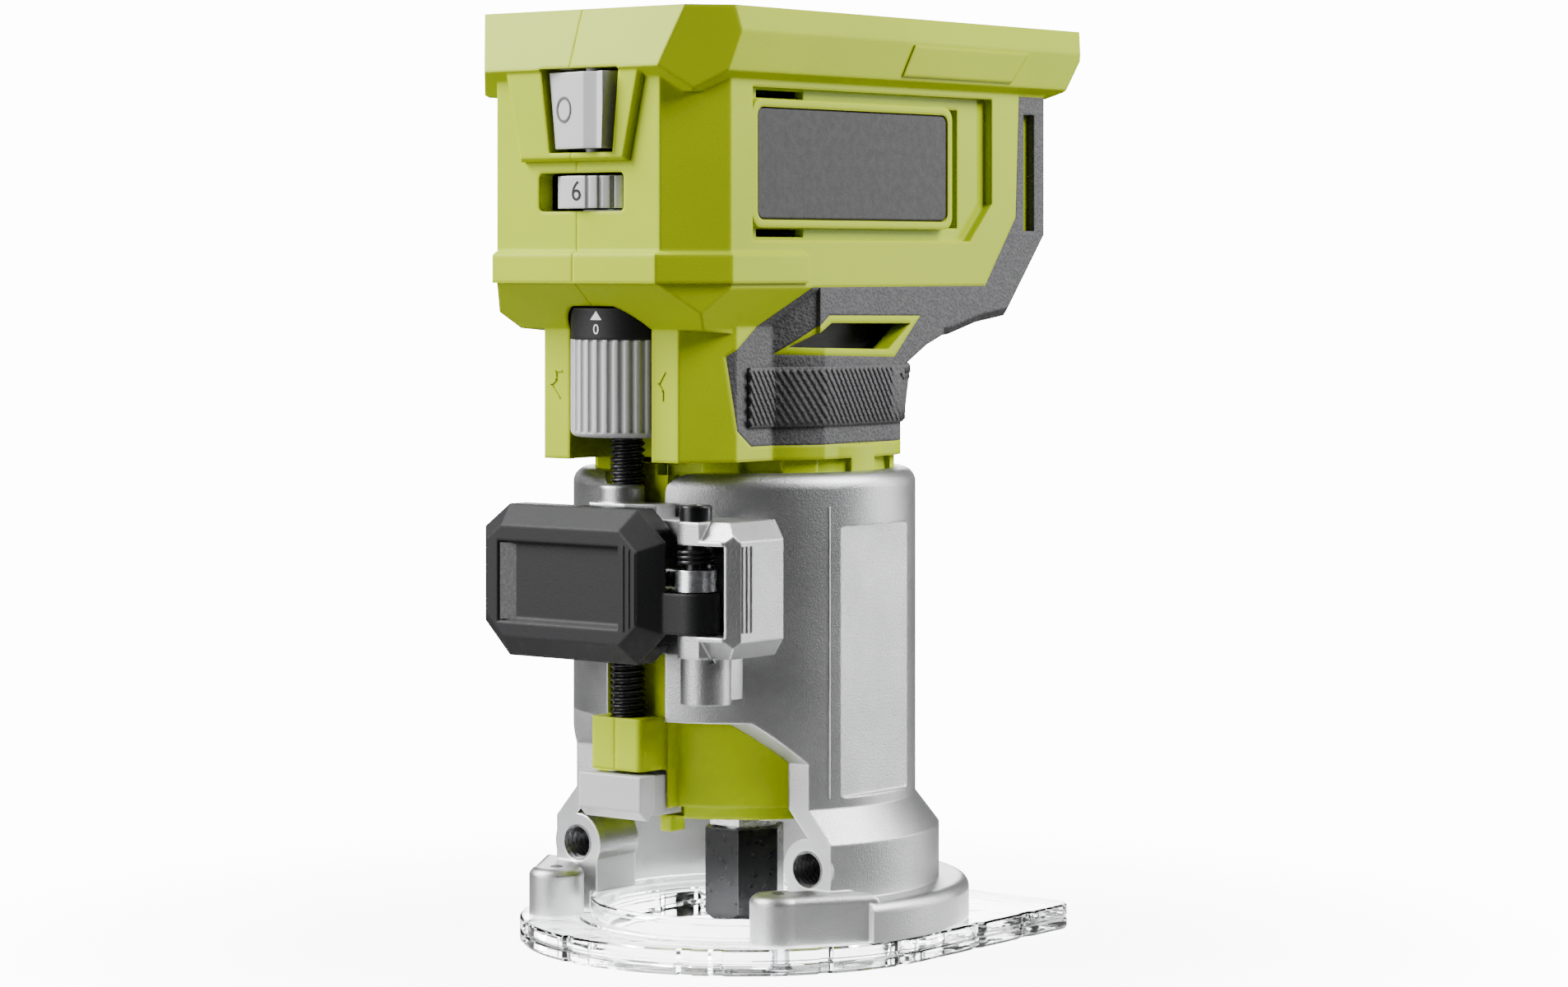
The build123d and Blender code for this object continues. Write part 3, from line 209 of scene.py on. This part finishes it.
# The table fades out a little way round the tool, so it holds only the soft contact shadow.
TABLE_FULL, TABLE_GONE, TABLE_STRENGTH = 0.07, 0.24, 0.4
floor_finish, floor_shader, at = finish_of("pale_table", roughness=0.6)
floor_tone = noise(at, 3.0).between(0.3, 0.7)
reach = at.node("ShaderNodeVectorMath", {"operation": "LENGTH"}, {0: at}, out="Value")
plug(floor_shader, base_color=floor_tone.mix((0.9, 0.9, 0.9, 1), (0.94, 0.94, 0.94, 1)),
     alpha=TABLE_STRENGTH - reach.between(TABLE_FULL, TABLE_GONE) * TABLE_STRENGTH)
table = bmesh.new()
bmesh.ops.create_grid(table, x_segments=1, y_segments=1, size=1.5)
table_mesh = bpy.data.meshes.new("table")
table.to_mesh(table_mesh)
table_top = bpy.data.objects.new("table", table_mesh)
table_top.location.z = -0.0002
table_mesh.materials.append(floor_finish)
bpy.context.scene.collection.objects.link(table_top)

# ------------------------------------------------------------------ clear sub-base
# Injection moulded clear polycarbonate, 6 mm thick. Its edge has a moulding line and small gate
# notches, and the round opening steps in as ledges for template guides.
SIDES = 360


def plate_edge(turn, inset):
    """Point of the plate's outline at a turn round the opening: a half round front, a straight back."""
    across, along = math.cos(turn), math.sin(turn)
    reach = 52.5 - inset
    if along > 0:
        reach = min(reach / max(abs(across), 1e-6), (60.5 - inset) / max(along, 1e-6),
                    (109.5 - inset) / (abs(across) + along))
    for notch in (-152, -127, -101, -66, -58, -31, -8, 22, 38, 142, 158):
        if abs(math.degrees(turn) - notch) < 1.3:
            reach -= 0.9
    return reach * across, reach * along


def add_rings(shape, rings, closed=False):
    """Skins a row of rings that have the same number of points; the ends are capped unless closed."""
    made = [[shape.verts.new(Vector(point) * 0.001) for point in ring] for ring in rings]
    pairs = list(zip(made, made[1:]))
    if closed:
        pairs.append((made[-1], made[0]))
    else:
        shape.faces.new(made[0][::-1])
        shape.faces.new(made[-1])
    for low, high in pairs:
        for i in range(len(low)):
            k = (i + 1) % len(low)
            shape.faces.new((low[i], low[k], high[k], high[i]))


def piece(name, shape, material, body):
    """Finishes a mesh as an object with the given material, which moves with a body."""
    bmesh.ops.recalc_face_normals(shape, faces=shape.faces)
    mesh = bpy.data.meshes.new(name)
    shape.to_mesh(mesh)
    shape.free()
    mesh.materials.append(material)
    made = bpy.data.objects.new(name, mesh)
    bpy.context.scene.collection.objects.link(made)
    mesh.shade_smooth()
    mesh.set_sharp_from_angle(angle=math.radians(32))
    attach(made, body)
    return made


clear, shader, at = finish_of("clear_polycarbonate", transmission_weight=1.0, ior=1.585)
haze = noise(at, 900.0, 3.0).between(0.45, 0.75)
plug(shader, roughness=haze * 0.05 + 0.015,
     normal=bumped(noise(at, 90.0, 2.0), 0.00012, rounded(at, 0.0003)),
     base_color=haze.mix((0.98, 0.99, 0.995, 1), (0.93, 0.95, 0.96, 1)))
dress(clear, "led_lenses")
turns = [math.radians(360 * i / SIDES - 180) for i in range(SIDES)]
edge_steps = ((0.8, 0), (0, 0.8), (0, 2.4), (0.45, 2.7), (0.45, 3.3), (0, 3.6), (0, 5.5), (0.5, 6))
ledge_steps = ((40.8, 6), (40.5, 5.5), (38.9, 5.5), (38.6, 6), (36, 6), (36, 9.6), (35.6, 10), (34.7, 10),
               (34.7, 8.3), (33, 8.3), (33, 0.4), (33.4, 0))
outside = [[(*plate_edge(turn, inset), z) for turn in turns] for inset, z in edge_steps]
ledges = [[(r * math.cos(turn), r * math.sin(turn), z) for turn in turns] for r, z in ledge_steps]
plate = bmesh.new()
add_rings(plate, outside + ledges, closed=True)
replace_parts(piece("clear_plate", plate, clear, "base"), "sub_base")

# ------------------------------------------------------------------ base casting
# Die-cast aluminium, shot blasted to a fine even grain and rubbed bright on its edges. A parting line
# of the die runs up the tube, three ribs mark the lug, and the ears are tapped for the edge guide.
def add_block(shape, centre, along, out, length, width, height):
    """Small bar on a surface: its long way, the way out of the surface, and its three sizes."""
    along, out = Vector(along).normalized(), Vector(out).normalized()
    across = out.cross(along)
    ends = [[Vector(centre) + along * length * i + across * width * j + out * height * k
             for j, k in ((-0.5, -1), (0.5, -1), (0.4, 1), (-0.4, 1))] for i in (-0.5, 0.5)]
    add_rings(shape, ends)


def thread_rings(start, end, root, crest, pitch, sides=36):
    """Rings up a screw thread round the Z axis."""
    rings = []
    for i in range(int((end - start) / pitch * 6) + 1):
        z = start + i * pitch / 6
        ring = []
        for k in range(sides):
            phase = (z / pitch - k / sides) % 1
            height = min(1, max(0, abs(2 * phase - 1) * 1.5 - 0.25))
            radius = root + (crest - root) * height
            ring.append((radius * math.cos(math.tau * k / sides), radius * math.sin(math.tau * k / sides), z))
        rings.append(ring)
    return rings


cast, shader, at = finish_of("blasted_aluminium", metallic=1.0)
grain = noise(at, 2600.0, 3.0, 0.6)
cloud = noise(at, 60.0, 4.0)
rub = edge_mask(at, 0.0011)
tone = cloud.between(0.3, 0.7).mix((0.36, 0.362, 0.368, 1), (0.43, 0.432, 0.438, 1))
plug(shader, base_color=rub.mix(tone, (0.72, 0.73, 0.74, 1)),
     roughness=grain * 0.16 + 0.31 - rub * 0.08,
     normal=bumped(grain, 0.00009, rounded(at, 0.0007)))
dress(cast, "base_casting", "depth_nut")

# The tapped threads in the ears are painted near black: painted shade inside the holes, with a random tone
# over it.
shaded_thread, shader, at = finish_of("shaded_thread", metallic=1.0)
thread_shade_tone = noise(at, 900.0).between(0.3, 0.7)
plug(shader, base_color=thread_shade_tone.mix((0.10, 0.10, 0.105, 1), (0.17, 0.17, 0.175, 1)),
     roughness=noise(at, 1500.0) * 0.2 + 0.3, normal=bumped(noise(at, 2600.0), 0.00003))

trim = bmesh.new()
for step in (0, 1.5, 3.0):
    add_block(trim, (40.0, -50.2 + step, 86.5), (0, 0, 1), (1, 0, 0), 19, 0.5, 0.3)
seam = math.radians(67.5)
for side in (-1, 1):
    out = Vector((side * math.sin(seam), -math.cos(seam), 0))
    add_block(trim, out * 40.0 + Vector((0, 0, 70)), (0, 0, 1), out, 66, 0.45, 0.12)
piece("casting_lines", trim, cast, "base")
EAR_X, EAR_FRONT, EAR_Z = 34.34, -20.0, 21.5
EAR_BORE, THREAD_START, THREAD_END, EAR_PITCH = 4.23, 0.1, 13.6, 1.5
for side, label in ((1, "right"), (-1, "left")):
    tapped = bmesh.new()
    inner = [[(side * EAR_X + x, EAR_FRONT + z, EAR_Z + y) for x, y, z in ring]
             for ring in thread_rings(THREAD_START, THREAD_END, 4.2, 3.55, EAR_PITCH)]
    circle = [(EAR_BORE * math.cos(math.tau * k / 36), EAR_BORE * math.sin(math.tau * k / 36))
              for k in range(36)]
    sleeve = [[(side * EAR_X + x, EAR_FRONT + z, EAR_Z + y) for x, y in circle]
              for z in (THREAD_END, THREAD_START)]
    add_rings(tapped, inner + sleeve, closed=True)
    piece(label + "_ear_thread", tapped, shaded_thread, "base")

# ------------------------------------------------------------------ steel hardware
# Turned and plated steel: tie rod, nut, springs, bearings, shaft and collet. Pin, screws and collet
# nut are blackened steel, bright only where an edge has been rubbed by a spanner.
steel, shader, at = finish_of("plated_steel", metallic=1.0)
turned = at.node("ShaderNodeTexWave", {"bands_direction": "Z"},
                 {"Vector": at, "Scale": 900.0, "Distortion": 2.0})
plug(shader, base_color=noise(at, 300.0).between(0.3, 0.7).mix((0.55, 0.56, 0.58, 1), (0.68, 0.69, 0.71, 1)),
     roughness=noise(at, 800.0) * 0.2 + 0.18, normal=bumped(turned, 0.00001, rounded(at, 0.0003)))
dress(steel, "tie_rod", "tie_rod_nut", "sub_base_screws", "lock_spring", "lower_bearing",
      "upper_bearing", "motor_can", "armature", "spindle", "collet")

oxide, shader, at = finish_of("black_oxide_steel", metallic=0.6)
rub = edge_mask(at, 0.0006)
plug(shader, base_color=rub.mix((0.008, 0.008, 0.009, 1), (0.12, 0.12, 0.125, 1)),
     roughness=noise(at, 500.0, 3.0) * 0.2 + 0.2,
     normal=bumped(noise(at, 1500.0), 0.00002, rounded(at, 0.0004)))
dress(oxide, "lever_pin", "housing_bolts", "collet_nut", "lever_spring")
TOE_X, TOE_Y = 33, -29
head_steps = ((1.5, 16.6), (1.5, 17.1), (1.1, 17.2), (0.8, 17.0), (0.75, 16.7))
for side, label in ((1, "right"), (-1, "left")):
    socket = bmesh.new()
    add_rings(socket, [[(side * TOE_X + r * math.cos(math.tau * k / 24),
                         TOE_Y + r * math.sin(math.tau * k / 24), z)
                        for k in range(24)] for r, z in head_steps])
    piece(label + "_toe_screw", socket, oxide, "base")

# ------------------------------------------------------------------ clamp lever
# Glass-filled nylon with a fine spark-eroded texture, moulded in one with the knuckle on the pin. The
# finger recess has a paler worn ramp at its free end and fine grip lines at the other.
black, shader, at = finish_of("black_nylon", specular_ior_level=0.2)
spark = noise(at, 3200.0, 3.0, 0.65)
rub = edge_mask(at, 0.0009)
plug(shader, base_color=rub.mix((0.010, 0.010, 0.011, 1), (0.035, 0.035, 0.037, 1)),
     roughness=spark * 0.2 + 0.42, normal=bumped(spark, 0.00006, rounded(at, 0.0009)))
dress(black, "clamp_lever", "scale_ring", "switch_body", "terminal_block", "brush_holder", "fan")
lines = bmesh.new()
for x in (14.0, 15.6, 17.2):
    add_block(lines, (x, -60.0, 86.2), (0, 0, 1), (0, -1, 0), 19 - (x - 14), 0.55, 0.22)
piece("lever_grip_lines", lines, black, "lever")

worn, shader, at = finish_of("worn_nylon", specular_ior_level=0.25)
scuff = at.node("ShaderNodeTexNoise", None, {"Vector": at, "Scale": 1400.0, "Detail": 5.0})
plug(shader, base_color=scuff.between(0.2, 0.9).mix((0.055, 0.055, 0.057, 1), (0.10, 0.10, 0.102, 1)),
     roughness=scuff * 0.2 + 0.35, normal=bumped(scuff, 0.00004))
ramp = bmesh.new()
add_rings(ramp, [[(-22.6, -59.95, z), (-18.6, -58.5, z), (-22.6, -58.5, z)] for z in (77.6, 94.8)])
piece("lever_ramp", ramp, worn, "lever")

# ------------------------------------------------------------------ depth screw
# Rolled 8 mm thread of 1.5 mm pitch, blackened, with a plain journal that carries the knob and the
# loose scale ring.
SCREW_Y, SCREW_PITCH = -42.0, 1.5
rod = bmesh.new()
rings = thread_rings(46.95, 118.4, 3.2, 3.98, SCREW_PITCH, 40)
for radius, z in ((3.0, 118.8), (3.0, 146.8)):
    rings.append([(radius * math.cos(math.tau * k / 40), radius * math.sin(math.tau * k / 40), z)
                  for k in range(40)])
add_rings(rod, [[(x, y + SCREW_Y, z) for x, y, z in ring] for ring in rings])
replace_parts(piece("threaded_rod", rod, oxide, "depth_adjuster"), "depth_screw")


# ------------------------------------------------------------------ scale ring marks
# White pointer and zero, printed on the black ring above the knob.
def on_drum(centre, radius, turn, z):
    """Matrix of a flat mark on an upright drum, at a turn from its front towards the right."""
    out = Vector((math.sin(turn), -math.cos(turn), 0))
    across = Vector((math.cos(turn), math.sin(turn), 0))
    place = Vector((*centre, z)) + out * radius
    turned_to = Matrix((across, Vector((0, 0, 1)), out)).transposed().to_4x4()
    return Matrix.Translation(place * 0.001) @ turned_to


def numeral(name, text, size, matrix, material, body):
    """A printed character, raised by a twentieth of a millimetre."""
    curve = bpy.data.curves.new(name, "FONT")
    curve.body, curve.size, curve.extrude = text, size * 0.00138, 0.00005
    curve.align_x, curve.align_y = "CENTER", "CENTER"
    typed = bpy.data.objects.new(name, curve)
    shape = bmesh.new()
    shape.from_mesh(bpy.data.meshes.new_from_object(typed))
    shape.transform(matrix)
    bpy.data.objects.remove(typed)
    piece(name, shape, material, body)


ink, shader, at = finish_of("white_ink", specular_ior_level=0.4)
cover = noise(at, 3000.0).between(0.35, 0.6)
plug(shader, base_color=cover.mix((0.62, 0.62, 0.62, 1), (0.85, 0.85, 0.85, 1)),
     roughness=noise(at, 1500.0) * 0.2 + 0.4)
pointer = bmesh.new()
add_rings(pointer, [[(-1.5, -0.9, z), (1.5, -0.9, z), (0, 1.1, z)] for z in (-0.08, 0.05)])
RING_RADIUS, RING_TURN = 12.9, math.radians(7)
pointer.transform(on_drum((0, SCREW_Y), RING_RADIUS, RING_TURN, 146.1))
piece("ring_pointer", pointer, ink, "scale")
numeral("ring_zero", "0", 2.3, on_drum((0, SCREW_Y), RING_RADIUS, RING_TURN, 143.0), ink,
        "scale")

# ------------------------------------------------------------------ lime housing
# Lime ABS moulded in two halves with a satin texture. It carries turn marks beside the knob and a blank
# label field on each side of the rim. Black sheets just inside the air windows are painted shade.
lime, shader, at = finish_of("lime_abs", specular_ior_level=0.12)
spark = noise(at, 2400.0, 2.0, 0.6)
cloud = noise(at, 35.0, 3.0).between(0.3, 0.7)
rub = edge_mask(at, 0.0010)
tone = cloud.mix((0.33, 0.425, 0.000, 1), (0.355, 0.455, 0.000, 1))
plug(shader, base_color=rub.mix(tone, (0.48, 0.56, 0.01, 1)), roughness=spark * 0.14 + 0.36,
     normal=bumped(spark, 0.00003, rounded(at, 0.0012)))
dress(lime, "housing_left", "housing_right")

marks = bmesh.new()
for side in (-1, 1):
    corners = [(14.6, 133.4), (16.2, 133.4), (16.2, 131.4), (17.6, 130.3), (15.2, 127.4)]
    if side > 0:
        corners = [(16.0, 133.6), (14.3, 131.0), (15.4, 129.4), (15.4, 127.4)]
    for (x0, z0), (x1, z1) in zip(corners, corners[1:]):
        add_block(marks, (side * (x0 + x1) / 2, -48.0, (z0 + z1) / 2), (side * (x1 - x0), 0, z1 - z0),
                  (0, -1, 0), math.hypot(x1 - x0, z1 - z0) + 0.3, 0.45, 0.22)
    field = ((12.9, 201.0), (56.6, 201.0), (61.6, 208.3), (15.6, 208.3))
    add_rings(marks, [[(side * (36.2 + (z - 200.1) * 0.2191 + lift), y, z) for y, z in field]
                      for lift in (-0.4, 0.28)])
piece("housing_marks", marks, lime, "motor_unit")
# Black sheets inside the air windows: painted shade, so that the windows look dark.
window_shade_sheets = bmesh.new()
for side in (-1, 1):
    add_rings(window_shade_sheets, [[(side * x, y, z) for y, z in ((-27, 133.5), (25, 133.5), (25, 148), (-27, 148))]
                        for x in (25.2, 25.8)])
piece("painted_shade_sheets", window_shade_sheets, black, "motor_unit")

# ------------------------------------------------------------------ rubber grip
# Soft grey overmould with a coarse grain that holds dust in its pores. A raised pad with a woven
# pattern of short slanted bars runs right round the back of the neck.
rubber, shader, at = finish_of("grey_overmould", specular_ior_level=0.2)
pores = at.node("ShaderNodeTexVoronoi", {"feature": "F1"}, {"Vector": at, "Scale": 1500.0})
grain = noise(at, 900.0, 4.0, 0.7)
dust = (pores * 0.6 + grain * 0.5).between(0.2, 0.8)
plug(shader, base_color=dust.mix((0.048, 0.048, 0.050, 1), (0.088, 0.088, 0.091, 1)),
     roughness=grain * 0.2 + 0.5, normal=bumped(pores + grain, 0.00012, rounded(at, 0.0010)))
dress(rubber, "grip_left", "grip_right")

track = [((27.5, -33.0 + i * 1.5), (1, 0)) for i in range(7)]
for i in range(28):
    bend = math.atan2(-24.0, 27.5) + i * (math.pi / 2 - math.atan2(-24.0, 27.5)) / 27
    flat = abs(math.cos(bend)) * 36.5 > 34
    spot = (34.0, 34.0 * math.tan(bend)) if flat else (36.5 * math.cos(bend), 36.5 * math.sin(bend))
    track.append((spot, (1, 0) if flat else (math.cos(bend), math.sin(bend))))
track += [((-x, y), (-u, v)) for (x, y), (u, v) in track[-2::-1]]


def pad_point(spot, out, lift, z):
    """Point over the neck, which flares out behind as it meets the head."""
    flare = max(0, z - 127) * 0.2 if spot[1] > 13 else 0
    return spot[0] + out[0] * (lift + flare), spot[1] + out[1] * (lift + flare), z


pad = bmesh.new()
section = ((-0.6, 121.0), (0.55, 121.0), (0.85, 121.5), (0.85, 134.0), (0.55, 134.5), (-0.6, 134.5))
add_rings(pad, [[pad_point(spot, out, lift, z) for lift, z in section] for spot, out in track])
gone = 0.0
for (a, out_a), (b, out_b) in zip(track, track[1:]):
    span = Vector(b) - Vector(a)
    while gone < span.length:
        spot = Vector(a) + span * (gone / span.length)
        out = (Vector(out_a) + (Vector(out_b) - Vector(out_a)) * (gone / span.length)).normalized()
        for row in range(9):
            z = 122.4 + row * 1.35
            slip = span.normalized() * (0.85 if row % 2 else 0)
            add_block(pad, pad_point(spot + slip, out, 0.88, z), (*(span.normalized() * 0.62), -0.78),
                      (*out, 0), 1.75, 0.62, 0.2)
        gone += 1.7
    gone -= span.length
piece("grip_pad", pad, rubber, "motor_unit")

# ------------------------------------------------------------------ side badges
# Dark grey plates, glued into their seats. They are left blank.
badge_finish, shader, at = finish_of("badge_grey", specular_ior_level=0.12)
cloud = noise(at, 500.0).between(0.3, 0.7)
plug(shader, base_color=cloud.mix((0.032, 0.032, 0.033, 1), (0.042, 0.042, 0.043, 1)),
     roughness=noise(at, 1800.0) * 0.15 + 0.36,
     normal=bumped(noise(at, 2600.0), 0.00003, rounded(at, 0.0006)))
dress(badge_finish, "badge_left", "badge_right")

# ------------------------------------------------------------------ light grey controls
# Rocker, speed dial, lock button and depth knob are moulded in light grey ABS. The rocker carries an
# embossed ring for off; the dial shows its step number and has dark grip ribs.
grey, shader, at = finish_of("light_grey_abs", specular_ior_level=0.5)
spark = noise(at, 2800.0, 2.0)
rub = edge_mask(at, 0.0008)
plug(shader, base_color=rub.mix((0.40, 0.40, 0.41, 1), (0.58, 0.58, 0.59, 1)), roughness=spark * 0.14 + 0.34,
     normal=bumped(spark, 0.00003, rounded(at, 0.0008)))
dress(grey, "switch_rocker", "speed_dial", "lock_button", "depth_knob")

shade_grey, shader, at = finish_of("mid_grey_abs", specular_ior_level=0.4)
speck = noise(at, 2500.0).between(0.3, 0.7)
plug(shader, base_color=speck.mix((0.07, 0.07, 0.072, 1), (0.10, 0.10, 0.103, 1)),
     roughness=noise(at, 1800.0) * 0.2 + 0.4)
ring_mark = bmesh.new()
hoop = [[(r * math.cos(math.tau * k / 32), r * math.sin(math.tau * k / 32), z) for k in range(32)]
        for r, z in ((3.0, -0.1), (2.9, 0.16), (2.35, 0.16), (2.25, -0.1))]
add_rings(ring_mark, hoop, closed=True)
ring_mark.transform(on_drum((-2.2, -61.29), 0.0, math.radians(-14.9), 192.0))
piece("off_mark", ring_mark, shade_grey, "rocker")
DIAL_X, DIAL_Y, DIAL_Z = 1.4, -47.0, 173.7
numeral("dial_step", "6", 4.6, on_drum((DIAL_X, DIAL_Y), 13.5, math.radians(-3), DIAL_Z), black,
        "dial")
ticks = bmesh.new()
for k in range(16):
    turn = math.radians(16 + 9.4 * k)
    out = Vector((math.sin(turn), -math.cos(turn), 0))
    add_block(ticks, Vector((DIAL_X, DIAL_Y, DIAL_Z)) + out * 13.1, (0, 0, 1), out, 7.1, 0.8, 0.35)
piece("dial_ribs", ticks, shade_grey, "dial")

# ------------------------------------------------------------------ parts inside
# Brass contacts and commutator, ferrite magnets and green circuit boards, seen only when it is opened.
brass, shader, at = finish_of("machined_brass", metallic=1.0)
plug(shader, base_color=noise(at, 400.0).between(0.3, 0.7).mix((0.70, 0.50, 0.22, 1), (0.78, 0.60, 0.30, 1)),
     roughness=noise(at, 900.0) * 0.2 + 0.22)
dress(brass, "battery_contacts", "commutator")
ferrite, shader, at = finish_of("ferrite")
cloud = noise(at, 800.0).between(0.3, 0.7)
plug(shader, base_color=cloud.mix((0.05, 0.05, 0.052, 1), (0.08, 0.08, 0.083, 1)),
     roughness=noise(at, 900.0) * 0.2 + 0.5)
dress(ferrite, "magnets")
board, shader, at = finish_of("solder_mask", coat_weight=0.4)
plug(shader, base_color=noise(at, 1200.0).between(0.4, 0.6).mix((0.02, 0.12, 0.05, 1), (0.03, 0.16, 0.07, 1)),
     roughness=noise(at, 900.0) * 0.1 + 0.3)
dress(board, "control_board", "speed_control")
